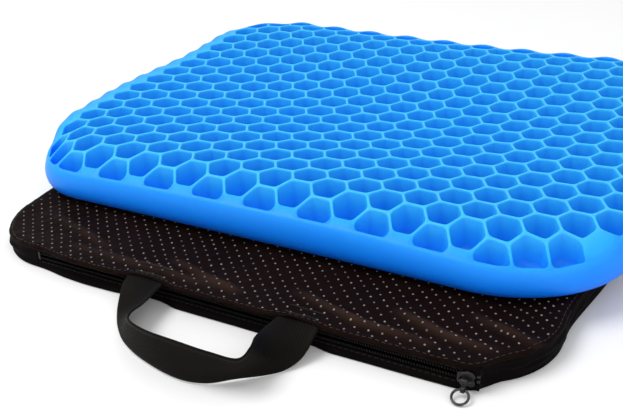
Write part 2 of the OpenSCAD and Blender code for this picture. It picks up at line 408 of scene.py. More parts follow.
def webbing_material():
    """Black twill webbing. Its ribs are in the mesh, and the finer yarns are here."""
    s = Shader("webbing", Roughness=0.5, Specular_IOR_Level=0.055, Sheen_Weight=0.012,
               Sheen_Roughness=0.4)
    s.principled.inputs["Sheen Tint"].default_value = (0.85, 0.72, 0.66, 1)
    yarn = s.noise(s.place(), 1500, 3, 0.65)
    cloud = s.noise(s.place(), 50, 3)
    base = s.ramp(cloud, [(0.3, (0.0018, 0.0014, 0.0012)), (0.7, (0.0048, 0.0038, 0.0033))])
    s.colour(s.mix(s.maths("MULTIPLY", yarn, 0.4), base, (0.009, 0.0075, 0.0066)))
    s.roughness(yarn, 0.2, 0.42)
    s.bump(yarn, 0.00012, 0.8)
    return s.material


def thread_material(name, dark, pale):
    """Twisted sewing thread."""
    s = Shader(name, Roughness=0.6, Specular_IOR_Level=0.35, Sheen_Weight=0.1)
    twist = s.noise(s.place(), 2400, 2)
    s.colour(s.ramp(twist, [(0.35, dark), (0.65, pale)]))
    s.roughness(twist, 0.3, 0.45)
    s.bump(twist, 0.00006)
    return s.material


GEL = gel_material()
COVER_FABRIC = cover_fabric()
BAND_FABRIC = band_fabric()
DOTS = dot_material()
TAPE = tape_material()
COIL = coil_material()
STEEL = metal_material("zip_steel", (0.035, 0.035, 0.038), (0.10, 0.10, 0.11), 0.3, 1.0)
PAINT = metal_material("slider_paint", (0.006, 0.006, 0.007), (0.018, 0.018, 0.02), 0.36, 0.4)
WEBBING = webbing_material()
THREAD = thread_material("thread", (0.002, 0.0016, 0.0016), (0.009, 0.0078, 0.0075))


# ---------------------------------------------------------------- gel pad

PAD_LOW, PAD_HIGH, PAD_CENTRE = node_box("gel_pad")
PAD_HALF = (PAD_HIGH - PAD_LOW) / 2
CELL_PITCH = 19.6 * MM
COLUMN_STEP = CELL_PITCH * math.sqrt(3) / 2
LATTICE_AT = Vector((-8.9, -27.5)) * MM        # centre of one cell, in the row frame
SLAB = 32 * MM                                 # height of the pad before it is bent
RIM_IN = 3.4 * MM                              # where the rim ends and the honeycomb's face starts
CELL_EDGE_IN = 4.2 * MM                        # the outermost cells are cut off here
PAD_CORNERS = {(1, -1): 82 * MM, (1, 1): 74 * MM, (-1, 1): 62 * MM, (-1, -1): 61 * MM}
CENTRE_TOP = 26                                # the heights below are in millimetres
LOW_LINE_Y = 6.5                               # the seat is lowest along this line across the pad
FRONT_RISE, BACK_RISE = (14, 128), (14, 110)   # how high each side rises, and over what reach
RIGHT_RISE, LEFT_RISE = (12, 150), (9, 168)
SHOULDER_REACH = 28
SIDE_DROP, FRONT_DROP, BACK_DROP = 1.5, 13, 4.4
SCALLOP = 1.3                                  # the rim rises and falls with the cells behind it
SCALLOP_REACH = 16
UNDER_SAG = 4


def rounded_box_inset(x, y, half, radii):
    """How far points lie inside a rectangle with rounded corners, each with its own radius."""
    radius = np.select([(x > 0) & (y <= 0), (x > 0) & (y > 0), (x <= 0) & (y > 0)],
                       [radii[1, -1], radii[1, 1], radii[-1, 1]], radii[-1, -1])
    ax = np.abs(x) - half.x + radius
    ay = np.abs(y) - half.y + radius
    outside = np.hypot(np.maximum(ax, 0), np.maximum(ay, 0))
    return radius - outside - np.minimum(np.maximum(ax, ay), 0)


def rounded_box_outline(half, radii, inset, corner_steps, straight_step):
    """Points round such a rectangle, anticlockwise, moved inward. Every inset gives as many."""
    quarters = [(1, -1), (1, 1), (-1, 1), (-1, -1)]
    points = []
    for i, (sx, sy) in enumerate(quarters):
        r = radii[sx, sy]
        centre = Vector((sx * (half.x - r), sy * (half.y - r)))
        for k in range(corner_steps + 1):
            a = math.radians(90 * (i - 1) + 90 * k / corner_steps)
            points.append(centre + (r - inset) * Vector((math.cos(a), math.sin(a))))
        nx, ny = quarters[(i + 1) % 4]
        r2 = radii[nx, ny]
        centre2 = Vector((nx * (half.x - r2), ny * (half.y - r2)))
        a = math.radians(90 * i)
        start = points[-1]
        end = centre2 + (r2 - inset) * Vector((math.cos(a), math.sin(a)))
        steps = max(2, round((centre2 - centre).length / straight_step))
        points += [start.lerp(end, k / steps) for k in range(1, steps)]
    return points


def pad_inset(x, y):
    """How far points lie inside the pad's outline. x and y are from the pad's centre."""
    return rounded_box_inset(x, y, PAD_HALF, PAD_CORNERS)


def pad_outline(inset, corner_steps=30, straight_step=3 * MM):
    """The pad's moulded outline, moved inward."""
    return rounded_box_outline(PAD_HALF, PAD_CORNERS, inset, corner_steps, straight_step)


def rise(distance, height, reach, power):
    """Climbs from 0 towards height as the distance passes the reach."""
    return height * (1 - np.exp(-np.abs(distance / reach) ** power))


def pad_top(x, y):
    """Height of the pad's dished upper face, which rolls off towards the rim."""
    u, v = x / MM, y / MM
    inset = pad_inset(x, y) / MM
    beyond = v - LOW_LINE_Y
    along = np.where(beyond < 0, rise(beyond, *FRONT_RISE, 2), rise(beyond, *BACK_RISE, 2))
    across = np.where(u > 2, rise(u - 2, *RIGHT_RISE, 2.5), rise(u - 2, *LEFT_RISE, 2.5))
    shared = np.where(beyond < 0, 0.15, 0.06) * along * across
    half = PAD_HALF.y / MM
    drop = SIDE_DROP + (FRONT_DROP - SIDE_DROP) * smoothstep((-v / half - 0.6) / 0.25) \
        + (BACK_DROP - SIDE_DROP) * smoothstep((v / half - 0.6) / 0.3)
    share = np.clip(1 - (inset - CELL_EDGE_IN / MM) / SHOULDER_REACH, 0, 1)
    return (CENTRE_TOP + along + across - shared - drop * share ** 1.9 + scallop(x, y)) * MM


def scallop(x, y):
    """How the rim's height follows the cells behind it, in millimetres."""
    near = np.clip(1 - pad_inset(x, y) / MM / SCALLOP_REACH, 0, 1)
    origin = LATTICE_AT - PAD_CENTRE.xy
    back = np.cos((x - origin.x) / (2 * COLUMN_STEP) * 2 * math.pi)
    side = np.cos((y - origin.y) / CELL_PITCH * 2 * math.pi)
    at_back = smoothstep((y / PAD_HALF.y - 0.55) / 0.3)
    at_side = smoothstep((np.abs(x) / PAD_HALF.x - 0.6) / 0.3) * (1 - at_back)
    return SCALLOP * near * (back * at_back + 0.6 * side * at_side)


def pad_bottom(x, y):
    """Height of the pad's underside, which sags in its middle into the empty cover."""
    along = np.cos(np.clip(x / PAD_HALF.x, -1, 1) * math.pi)
    across = np.cos(np.clip(y / PAD_HALF.y, -1, 1) * math.pi)
    return -UNDER_SAG * MM * (1 + along) * (1 + across) / 4


def pad_drift(x, y):
    """How far the soft pad's plan is drawn from its moulded outline, mostly at its front left."""
    u, v = x / MM, y / MM
    left = np.clip((62 - u) / 230, 0, 1.2) * np.clip((38.5 - v) / 150, 0, 1.2)
    right = np.clip((u - 22) / 130, 0, 1.3) * np.clip((v + 61.5) / 150, 0, 1.3)
    edge = smoothstep((-u - 140) / 58) * smoothstep((-30 - v) / 110)
    side = smoothstep((-u - 120) / 78) * np.exp(-((v + 5) / 60) ** 2)
    front = smoothstep((-v - 60) / 80)
    across = 2.4 - 11.5 * left - 3.2 * right + 9 * edge - 4.5 * side
    return across * MM, (-2 * left - 1.3 * front) * MM


def cut_inside(polygon, border):
    """The part of a convex polygon inside a convex border, both anticlockwise."""
    for a, b in zip(border, border[1:] + border[:1]):
        edge = b - a
        side = [edge.cross(p - a) for p in polygon]
        kept = []
        for i, p in enumerate(polygon):
            j = (i + 1) % len(polygon)
            if side[i] >= 0:
                kept.append(p)
            if (side[i] >= 0) != (side[j] >= 0):
                kept.append(p.lerp(polygon[j], side[i] / (side[i] - side[j])))
        polygon = kept
        if len(polygon) < 3:
            return []
    return polygon


def without_flat_corners(polygon, least_turn=math.radians(9), least_side=1.2 * MM):
    """Drops corners that hardly turn or that crowd the one before."""
    spaced = [p for i, p in enumerate(polygon) if (p - polygon[i - 1]).length > least_side]
    kept = []
    for i, p in enumerate(spaced):
        before, after = p - spaced[i - 1], spaced[(i + 1) % len(spaced)] - p
        if before.angle(after) > least_turn:
            kept.append(p)
    return kept


def rounded(polygon, radius, steps):
    """The polygon with each corner eased into an arc of a few points."""
    points = []
    for i, p in enumerate(polygon):
        before, after = polygon[i - 1] - p, polygon[(i + 1) % len(polygon)] - p
        reach = min(radius, 0.45 * before.length, 0.45 * after.length)
        a, b = p + before.normalized() * reach, p + after.normalized() * reach
        for k in range(steps):
            t = k / (steps - 1)
            points.append(a.lerp(p, t).lerp(p.lerp(b, t), t))
    return points


def pad_cells(wall, corner_radius, corner_steps, edge_in):
    """Outlines of all the cells, as lists of points round each cell, cut off at edge_in."""
    border = pad_outline(edge_in, 8, 60 * MM)
    radius = (CELL_PITCH - wall) / math.sqrt(3)
    corners = [radius * Vector((math.cos(math.radians(60 * k)), math.sin(math.radians(60 * k))))
               for k in range(6)]
    origin = LATTICE_AT - PAD_CENTRE.xy
    found = []
    for column in range(-16, 17):
        for row in range(-14, 15):
            centre = origin + Vector((column * COLUMN_STEP, (row + column % 2 / 2) * CELL_PITCH))
            if pad_inset(centre.x, centre.y) < edge_in + 0.12 * CELL_PITCH:
                continue
            polygon = without_flat_corners(cut_inside([centre + c for c in corners], border))
            if len(polygon) >= 3:
                found.append(rounded(polygon, corner_radius, corner_steps))
    return found


def add_pockets(points, faces, cells, rings):
    """Adds each cell's walls and floor. rings is a list of (scale about the middle, height)."""
    for cell in cells:
        middle = sum(cell, Vector((0, 0))) / len(cell)
        n = len(cell)
        first = len(points)
        for scale, height in rings:
            points += [(*(middle + (p - middle) * scale), height) for p in cell]
        for ring in range(len(rings) - 1):
            faces += strip(first + ring * n, first + (ring + 1) * n, n)
        last = first + (len(rings) - 1) * n
        faces.append(tuple(range(last, last + n)))


def add_flat_face(points, faces, border, cells, height):
    """Adds the flat face between the border and the cells' mouths."""
    coords = list(border)
    loops = [list(range(len(border)))]
    for cell in cells:
        loops.append(list(range(len(coords), len(coords) + len(cell))))
        coords += cell
    first = len(points)
    points += [(p.x, p.y, height) for p in coords]
    for face, owners in triangulated(coords, loops):
        if owners == [0]:
            faces.append(tuple(first + k for k in face))


def gel_pad():
    """The honeycomb pad, made flat and then bent to its dished shape."""
    points, faces = [], []
    upper = pad_cells(1.0 * MM, 2.0 * MM, 3, CELL_EDGE_IN)
    lower = pad_cells(1.8 * MM, 2.0 * MM, 2, 10 * MM)
    rim = [(RIM_IN, SLAB / MM), (2.6 * MM, 31.2), (1.7 * MM, 29.3), (0.9 * MM, 26.5), (0.3 * MM, 22.5),
           (0, 18), (0, 14), (0.4 * MM, 10.5), (1.3 * MM, 7), (2.8 * MM, 4), (4.8 * MM, 1.6),
           (7 * MM, 0.3), (9 * MM, 0)]
    outlines = [pad_outline(inset) for inset, _ in rim]
    n = len(outlines[0])
    for outline, (_, height) in zip(outlines, rim):
        points += [(*p, height * MM) for p in outline]
    for ring in range(len(rim) - 1):
        faces += strip(ring * n, (ring + 1) * n, n)
    add_flat_face(points, faces, outlines[0], upper, SLAB)
    add_flat_face(points, faces, outlines[-1], lower, 0)
    add_pockets(points, faces, upper,
                [(1, SLAB), (0.98, 31.8 * MM), (0.966, 31.2 * MM), (0.957, 30.2 * MM),
                 (0.935, 23 * MM), (0.91, 16.5 * MM), (0.85, 14.6 * MM), (0.72, 14 * MM)])
    add_pockets(points, faces, lower,
                [(1, 0), (0.965, 0.4 * MM), (0.94, 1.4 * MM), (0.9, 10.5 * MM), (0.8, 12 * MM)])
    pad = make_object("gel_pad_moulded", points, faces, GEL)
    at = vertices(pad)
    share = at[:, 2] / SLAB
    low, high = pad_bottom(at[:, 0], at[:, 1]), pad_top(at[:, 0], at[:, 1])
    at[:, 2] = low + (high - low) * share
    inside = smoothstep((pad_inset(at[:, 0], at[:, 1]) / MM - 5) / 8)
    # Painted light and shade, stored for the gel's colour: the rim grows lighter from its foot up, and
    # inside the honeycomb the cells' floors are shaded and the walls' tops lit pale.
    painted_shading = 0.6 * share * (1 - inside) + (0.6 + 0.7 * (share - 0.43)) * inside
    drift_x, drift_y = pad_drift(at[:, 0], at[:, 1])
    at[:, 0] += drift_x
    at[:, 1] += drift_y
    at += np.array((PAD_CENTRE.x, PAD_CENTRE.y, PAD_LOW.z))
    pad.data.vertices.foreach_set("co", at.ravel())
    pad.data.update()
    set_point_attribute(pad, "gel_painted_light_shade", painted_shading)
    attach(pad, "pad")
    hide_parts("gel_pad")


# ---------------------------------------------------------------- cover

COVER_LOW, _, _ = node_box("bottom_panel")
_, COVER_HIGH, _ = node_box("top_panel")
COVER_HALF = (COVER_HIGH - COVER_LOW) / 2
COVER_CORNERS = {(1, -1): 45 * MM, (1, 1): 38 * MM, (-1, 1): 38 * MM, (-1, -1): 43 * MM}
CLOTH = 1.2 * MM                               # thickness of the cover's fabric
BAND_STEP = 2.2 * MM                           # spacing of the side band's sections
EDGE_ROUND = 0.35 * MM                         # how far a panel's cut edge stands out
FOLD_FOR_FULL_HIGHLIGHT = 2.2 * MM                          # a crease this high gets the full painted highlight
BAND_LOW, BAND_HIGH, _ = node_box("side_band")
ZIP_LEFT = node_box("zip_band_lower")[0].x     # the zip's bands fill the front between these
ZIP_RIGHT = node_box("zip_band_lower")[1].x
LOWER_LIP = node_box("zip_band_lower")[1].z
UPPER_LIP = node_box("zip_band_upper")[0].z
ROOTS = [(node_box(f"handle_end_{side}")[2]).x for side in ("left", "right")]
FRONT_BULGE = 3 * MM
LEFT_SWELL = 2.6 * MM                          # the front bulges more at the left of the handle
GROOVE_LENGTH = 75 * MM                        # how far the zip's groove runs on into the side band
RIGHT_PULL = 11 * MM                           # the right front corner is drawn in
CORNER_TUCK = 7.5 * MM
DROOP = 3 * MM                                 # the left front corner sinks
PANEL_ROLL = 1.2 * MM
DOT_PITCH = Vector((8.2, 4.1)) * MM            # along a row, and from row to row
DOTS_START = 3.8 * MM
PANEL_SAG = 1.5 * MM
FOLDS = [                                      # points along each crease, height, half width, in mm
    ([(-112, -137), (-40, -139), (5, -140)], 1.7, 3.6),
    ([(-48, -126), (-20, -133), (4, -139)], 1.9, 3.0),
    ([(34, -125), (78, -137), (118, -139)], 2.4, 3.4),
    ([(90, -119), (121, -129), (145, -131)], 2.2, 3.4),
    ([(128, -106), (149, -113), (168, -121)], 1.8, 3.2),
    ([(-150, -112), (-118, -122), (-90, -131)], 1.4, 3.4),
]


def at_handle(x, y):
    """1 where an end of the handle is sewn into the front seam, and 0 away from it."""
    near = sum(np.exp(-((x - root) / (15 * MM)) ** 4) for root in ROOTS)
    return near * smoothstep((-y - 120 * MM) / (20 * MM))


def cover_drift(x, y):
    """How far the limp cover's plan strays from its pattern."""
    front = smoothstep((-y / COVER_HALF.y - 0.2) / 0.8)
    swell = FRONT_BULGE * front * np.cos(np.clip(x / COVER_HALF.x, -1, 1) * math.pi / 2)
    pull = RIGHT_PULL * smoothstep(-y / (90 * MM)) * (np.maximum(x, 0) / COVER_HALF.x) ** 2
    tucked = smoothstep((x - 147 * MM) / (15 * MM)) * smoothstep((-y - 60 * MM) / (50 * MM))
    tuck = CORNER_TUCK * tucked
    left = LEFT_SWELL * front * np.exp(-((x + 98 * MM) / (34 * MM)) ** 2)
    left *= smoothstep((x + 136 * MM) / (24 * MM))          # room for the ring at the zip's end
    stray = 0.6 * MM * waves(x, y, 70 * MM, 3)
    return -pull + 0.5 * stray, tuck - (swell + left) * (1 - 0.9 * at_handle(x, y)) + 0.3 * stray


def cover_droop(x, y):
    """How far the cover sinks at its left front corner."""
    u = np.clip((-x - 132 * MM) / (48 * MM), 0, 1)
    v = np.clip((-y - 60 * MM) / (85 * MM), 0, 1)
    return DROOP * smoothstep(u) * smoothstep(v)


def cover_outline(inset, step=2.4 * MM):
    """The cover's pattern, moved inward. The corners are as finely stepped as the sides."""
    return rounded_box_outline(COVER_HALF, COVER_CORNERS, inset, 26, step)


def drifted(points, drift):
    """Flat points after a drift, as an array of x and y."""
    at = np.array([tuple(p)[:2] for p in points])
    dx, dy = drift(at[:, 0], at[:, 1])
    return at + np.stack((dx, dy), 1)


def fold_height(x, y):
    """The cover's creases: a ridge along each line, with a faint trough at either side."""
    total = 0
    for line, height, width in FOLDS:
        ends = [np.array(p) * MM for p in line]
        lengths = [np.linalg.norm(b - a) for a, b in zip(ends, ends[1:])]
        best = np.full(np.shape(x), 1.0)
        share = np.zeros(np.shape(x))
        done = 0
        for a, b, length in zip(ends, ends[1:], lengths):
            t = np.clip(((x - a[0]) * (b - a)[0] + (y - a[1]) * (b - a)[1]) / length ** 2, 0, 1)
            gap = np.hypot(x - a[0] - t * (b - a)[0], y - a[1] - t * (b - a)[1])
            share = np.where(gap < best, (done + t * length) / sum(lengths), share)
            best = np.minimum(best, gap)
            done += length
        d = best / (width * MM)
        profile = np.exp(-d ** 2) - 0.22 * np.exp(-((d - 1.9) / 0.7) ** 2)
        total = total + height * MM * profile * (0.25 + 0.75 * np.sin(math.pi * share) ** 0.7)
    return total


def panel_top(x, y, inset):
    """Height of the top panel's outer face. inset is how far the point is inside the seam."""
    roll = PANEL_ROLL * (1 - smoothstep(inset / (3.2 * MM))) * (1 - at_handle(x, y))
    seam = np.exp(-(inset / (8 * MM)) ** 2)
    pucker = 0.4 * MM * seam * waves(x * 3, y * 3, 27 * MM, 5)
    loose = smoothstep(inset / (22 * MM))
    sag = PANEL_SAG * loose * smoothstep((-y - 60 * MM) / (40 * MM))
    ripple = loose * MM * (0.6 * waves(x, y, 32 * MM, 8) + 0.22 * waves(x, y, 10 * MM, 9))
    free = COVER_HIGH.z - roll + pucker - sag + ripple + fold_height(x, y) - cover_droop(x, y)
    px, py = x - PAD_CENTRE.x, y - PAD_CENTRE.y
    below_pad = PAD_LOW.z + pad_bottom(px, py) - 0.35 * MM
    covered = smoothstep((pad_inset(px, py) + 4 * MM) / (12 * MM))
    return np.where(covered > 0, free + (np.minimum(free, below_pad) - free) * covered, free)


def panel_mesh(name, upper, lower, material, fine, coarse):
    """A closed panel of the cover's outline between two height functions of x, y and inset."""
    insets = [0, 0.5 * MM, 1.3 * MM, 2.3 * MM, 3.6 * MM, 5.4 * MM, 7.8 * MM, 10.8 * MM]
    flat = [p for inset in insets for p in cover_outline(inset)]
    edge = len(cover_outline(0))
    for step, low, high in ((fine, -COVER_HALF.y, -70 * MM), (coarse, -70 * MM, COVER_HALF.y)):
        for j, y in enumerate(np.arange(low, high, step)):
            for x in np.arange(-COVER_HALF.x + (j % 2) * step / 2, COVER_HALF.x, step):
                if rounded_box_inset(x, y, COVER_HALF, COVER_CORNERS) > 13 * MM:
                    flat.append(Vector((x, y)))
    triangles = [face for face, _ in triangulated(flat, [list(range(edge))])]
    x, y = np.array([tuple(p) for p in flat]).T
    inset = rounded_box_inset(x, y, COVER_HALF, COVER_CORNERS)
    place = drifted(flat, cover_drift)
    sheets = [np.column_stack((place, height(*place.T, inset))) for height in (upper, lower)]
    n = len(place)
    points = [*sheets[0], *sheets[1]]
    faces = triangles + [tuple(k + n for k in face) for face in triangles]
    middle = (sheets[0][:edge] + sheets[1][:edge]) / 2
    outward = np.roll(middle, -1, 0)[:, :2] - np.roll(middle, 1, 0)[:, :2]
    outward = unit(np.column_stack((outward[:, 1], -outward[:, 0])))
    middle[:, :2] += EDGE_ROUND * outward
    points += list(middle)
    for k in range(edge):
        j = (k + 1) % edge
        faces.append((k, j, 2 * n + j, 2 * n + k))
        faces.append((2 * n + k, 2 * n + j, n + j, n + k))
    return make_object(name, points, faces, material)


def panel_area():
    """Area of a panel's outline as it lies."""
    at = drifted(cover_outline(0), cover_drift)
    x, y = at.T
    return abs(np.sum(x * np.roll(y, -1) - y * np.roll(x, -1))) / 2


def grip_dots():
    """Rows of small silicone domes over the whole top panel."""
    sides = 7
    ring = [(math.cos(a), math.sin(a)) for a in np.arange(sides) * 2 * math.pi / sides]
    dome = np.array([(0.66 * c, 0.66 * s, -0.15) for c, s in ring]
                    + [(0.64 * c, 0.64 * s, 0.08) for c, s in ring]
                    + [(0.4 * c, 0.4 * s, 0.29) for c, s in ring] + [(0, 0, 0.36)]) * MM
    shape = [tuple(reversed(range(sides)))]
    for row in (0, sides):
        shape += strip(row, row + sides, sides)
    shape += [(2 * sides + k, 2 * sides + (k + 1) % sides, 3 * sides) for k in range(sides)]
    pattern = []
    for j in range(int(2 * COVER_HALF.y / DOT_PITCH.y)):
        for i in range(-23, 24):
            x = (i + j % 2 / 2) * DOT_PITCH.x
            y = -COVER_HALF.y + DOTS_START + j * DOT_PITCH.y
            if rounded_box_inset(x, y, COVER_HALF, COVER_CORNERS) > DOTS_START - 0.2 * MM:
                pattern.append((x, y))
    x, y = np.array(pattern).T
    inset = rounded_box_inset(x, y, COVER_HALF, COVER_CORNERS)
    x, y = drifted(pattern, cover_drift).T
    step = 0.5 * MM
    height = panel_top(x, y, inset)
    slope_x = (panel_top(x + step, y, inset) - height) / step
    slope_y = (panel_top(x, y + step, inset) - height) / step
    points, faces = [], []
    for px, py, pz, sx, sy in zip(x, y, height, slope_x, slope_y):
        first = len(points)
        tilt = dome.copy()
        tilt[:, 2] += tilt[:, 0] * sx + tilt[:, 1] * sy
        points += [tuple(p) for p in tilt + (px, py, pz)]
        faces += [tuple(first + k for k in face) for face in shape]
    return make_object("grip_dots", points, faces, DOTS)


def seam_stitches(name, line, pitch, length, radius):
    """Stitches along a closed or open line of points, each one pitch after the last."""
    line = np.array(line)
    along = distances(line)
    starts = np.arange(0, along[-1] - length, pitch)
    points, faces = [], []
    for start in starts:
        a, b = ([np.interp(d, along, line[:, k]) for k in range(3)]
                for d in (start, start + length))
        add_stitch(points, faces, a, b, radius)
    return make_object(name, points, faces, THREAD)


def top_panel():
    """The dotted top panel, with its grip dots and its line of stitches."""
    panel = panel_mesh("top_panel_cloth", panel_top,
                       lambda x, y, inset: panel_top(x, y, inset) - CLOTH,
                       COVER_FABRIC, 2.2 * MM, 6 * MM)
    at = vertices(panel)
    # The creases' heights mask the painted highlight along the folds.
    fold_highlight = fold_height(at[:, 0], at[:, 1]) / FOLD_FOR_FULL_HIGHLIGHT
    set_point_attribute(panel, "crease", np.clip(fold_highlight, 0, 1))
    dots = grip_dots()
    seam_in = 2.0 * MM
    flat = cover_outline(seam_in)
    at = drifted(flat + flat[:1], cover_drift)
    height = panel_top(*at.T, np.full(len(at), seam_in)) + 0.06 * MM
    stitches = seam_stitches("panel_stitches", np.column_stack((at, height)),
                             3.6 * MM, 2.3 * MM, 0.22 * MM)
    for piece, slot in ((panel, "dotted_fabric"), (dots, "dotted_fabric"), (stitches, "thread")):
        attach(piece, "cover")
    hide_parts("top_panel")
    panel_area()


def bottom_panel():
    """The plain underside, which lies on the ground in slight waves."""
    def lower(x, y, inset):
        return 0.2 * MM * smoothstep(inset / (30 * MM)) * (1 + waves(x, y, 45 * MM, 12))

    panel = panel_mesh("bottom_panel_cloth", lambda x, y, inset: lower(x, y, inset) + CLOTH,
                       lower, BAND_FABRIC, 5 * MM, 8 * MM)
    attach(panel, "cover")
    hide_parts("bottom_panel")
    panel_area()


def cover_edge():
    """The cover's edge as an array of x and y, starting where the zip's bands begin."""
    at = drifted(cover_outline(0), cover_drift)
    front = (at[:, 1] < -0.9 * COVER_HALF.y) & (at[:, 0] > ZIP_LEFT) & (at[:, 0] < ZIP_RIGHT)
    start = np.flatnonzero(front & ~np.roll(front, 1))[0]
    return np.roll(at, -start, 0), int(front.sum())


def resampled(line, step):
    """Points evenly spaced along a line of points."""
    along = distances(line)
    places = np.linspace(0, along[-1], max(2, round(along[-1] / step)))
    return np.column_stack([np.interp(places, along, line[:, k]) for k in range(line.shape[1])])


def zip_recess(z, top):
    """1 at the zip's height, and 0 at the seams above and below it."""
    below = (LOWER_LIP - z) / (LOWER_LIP - BAND_LOW.z)
    above = (z - UPPER_LIP) / (top - UPPER_LIP)
    return 1 - float(smoothstep((max(below, above, 0) - 0.32) / 0.6))


def side_band(zip_bands):
    """The band round the sides and the back. The zip's bands are sewn to its two ends."""
    edge, count = cover_edge()
    sides = edge[count:]
    line = resampled(np.vstack(((ZIP_RIGHT, edge[count - 1][1]), sides,
                                (ZIP_LEFT, edge[0][1]))), BAND_STEP)
    ahead = np.gradient(line, axis=0)
    inward = unit(np.column_stack((-ahead[:, 1], ahead[:, 0])))
    levels = np.linspace(0, 1, 18)
    total = len(line) - 1
    lip_y = node_box("zip_band_lower")[0].y
    rings = []
    for i, (at, into) in enumerate(zip(line, inward)):
        calm = smoothstep(min(i, total - i) / 12)
        top = BAND_HIGH.z - cover_droop(*at) - 0.05 * MM
        fade = smoothstep(1 - min(i, total - i) * BAND_STEP / GROOVE_LENGTH)
        end_y = line[0][1] if i < total / 2 else line[-1][1]
        groove_depth = fade * max(lip_y - end_y, 1.2 * MM)
        outer, inner = [], []
        for t in levels:
            z = BAND_LOW.z + (top - BAND_LOW.z) * t
            crease = 0.9 * waves(i * BAND_STEP, z * 5, 26 * MM, 21)
            bulge = calm * math.sin(math.pi * t) * (1.5 + crease) * MM
            bulge -= groove_depth * zip_recess(z, top)
            outer.append((*(at - into * bulge), z))
            inner.append((*(at - into * (bulge - CLOTH)), z))
        rings.append(outer + inner[::-1])
    points, faces = [], []
    add_rings(points, faces, rings)
    band = make_object("side_band_cloth", points, faces, BAND_FABRIC)
    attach(band, "cover")
    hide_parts("side_band")


def zip_band(name, node, lip, seam, stitch_level):
    """A band between the zip and a panel. It is flat at its lip and bulges towards the seam."""
    edge, count = cover_edge()
    front = edge[:count]
    lip_y = node_box(node)[0].y
    rings = []
    places = np.linspace(ZIP_LEFT, ZIP_RIGHT, 130)
    seam_y = np.interp(places, front[:, 0], front[:, 1])
    levels = np.linspace(0, 1, 9)
    for x, y in zip(places, seam_y):
        droop = cover_droop(x, y) if seam > lip else 0
        outer, inner = [], []
        for t in levels:
            away = float(smoothstep((t - 0.32) / 0.6))
            crease = 0.25 * MM * away * float(waves(x, t * 9 * MM, 24 * MM, 31 + int(seam > lip)))
            z = lip + (seam - droop - lip) * t
            out_y = lip_y + (min(y, lip_y) - lip_y) * away + crease
            outer.append((x, out_y, z))
            inner.append((x, out_y + CLOTH, z))
        rings.append(outer + inner[::-1])
    points, faces = [], []
    add_rings(points, faces, rings)
    band = make_object(name, points, faces, BAND_FABRIC)
    stitch_z = lip + (seam - lip) * stitch_level
    line = [(x, lip_y - 0.04 * MM, stitch_z) for x in (ZIP_LEFT + 3 * MM, ZIP_RIGHT - 3 * MM)]
    stitches = seam_stitches(f"{name}_stitches", line, 3.4 * MM, 2.2 * MM, 0.18 * MM)
    for piece, slot in ((band, "band_fabric"), (stitches, "thread")):
        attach(piece, "cover")
    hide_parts(node)
    return [band, stitches]


# ---------------------------------------------------------------- zip

def zip_coil(name, node, phase):
    """One row of the zip's nylon coil: a wire wound round the CAD row's axis."""
    low, high, middle = node_box(node)
    pitch = 1.5 * MM
    wire = 0.33 * MM
    reach_y, reach_z = (high.y - low.y) / 2 - wire, (high.z - low.z) / 2 - wire
    steps = 9
    turns = int((high.x - low.x - 2 * wire) / pitch)
    path = []
    for k in range(turns * steps + 1):
        a = 2 * math.pi * k / steps + phase
        path.append((low.x + wire + pitch * k / steps, middle.y + reach_y * math.cos(a),
                     middle.z + reach_z * math.sin(a)))
    points, faces = [], []
    add_tube(points, faces, path, [wire] * len(path), 5)
    coil = make_object(name, points, faces, COIL)
    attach(coil, "cover")
    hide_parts(node)


def slider_outline(shrink):
    """The slider's plate seen from the front: wide and notched at its mouth, narrow behind."""
    low, high, middle = node_box("slider_body")
    half_l, half_w = (high.x - low.x) / 2 - shrink, (high.z - low.z) / 2 - shrink
    shape = [(-1, -0.62), (-0.72, -0.74), (0.15, -1), (0.72, -1), (0.98, -0.72), (1, -0.3),
             (0.8, 0), (1, 0.3), (0.98, 0.72), (0.72, 1), (0.15, 1), (-0.72, 0.74), (-1, 0.62)]
    corners = [Vector((half_l * u, half_w * v)) for u, v in shape]
    return [(middle.x + p.x, middle.z + p.y) for p in rounded(corners, 1.2 * MM, 4)]


def slider():
    """Two bevelled plates joined by a post at the mouth."""
    low, high, middle = node_box("slider_body")
    plate = 1.1 * MM
    bevel = 0.28 * MM
    points, faces = [], []
    for y in (low.y, high.y - plate):
        sections = [(1.7 * bevel, 0), (0.5 * bevel, 0.3 * bevel), (0, bevel),
                    (0, plate - bevel), (0.5 * bevel, plate - 0.3 * bevel), (1.7 * bevel, plate)]
        add_rings(points, faces, [[(x, y + depth, z) for x, z in slider_outline(shrink)]
                                  for shrink, depth in sections])
    post_x = (high.x - 2.6 * MM, high.x - 0.6 * MM)
    ring = [Vector((x, z)) for x, z in ((post_x[0], -0.3 * MM), (post_x[1], -0.3 * MM),
                                        (post_x[1], 0.3 * MM), (post_x[0], 0.3 * MM))]
    add_rings(points, faces, [[(p.x, y, middle.z + p.y) for p in rounded(ring, 0.25 * MM, 3)]
                              for y in (low.y + 0.9 * plate, high.y - 0.9 * plate)])
    body = make_object("slider_plates", points, faces, PAINT, False)
    smooth_by_angle(body)
    bar = node_box("slider_bridge")[2].x
    bar_y = node_box("slider_bridge")[0].y + 0.6 * MM
    arch = [(-2.75, 2.4), (-2.75, 1.2), (-2.55, 0.55), (-2.1, 0.12), (-1.6, 0), (1.6, 0),
            (2.1, 0.12), (2.55, 0.55), (2.75, 1.2), (2.75, 2.4)]
    points, faces = [], []
    add_tube(points, faces, [(bar + x * MM, bar_y + y * MM, middle.z) for x, y in arch],
             [0.6 * MM] * len(arch), 12)
    bail = make_object("slider_bail", points, faces, PAINT)
    for piece, node in ((body, "slider_body"), (bail, "slider_bridge")):
        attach(piece, "slider")
        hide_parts(node)


def joint_at(name):
    """Where a hinge of the record stands."""
    joints = frame["record"]["behaviour"]["joints"]
    return Vector(next(j["pos_m"] for j in joints if j["name"] == name))


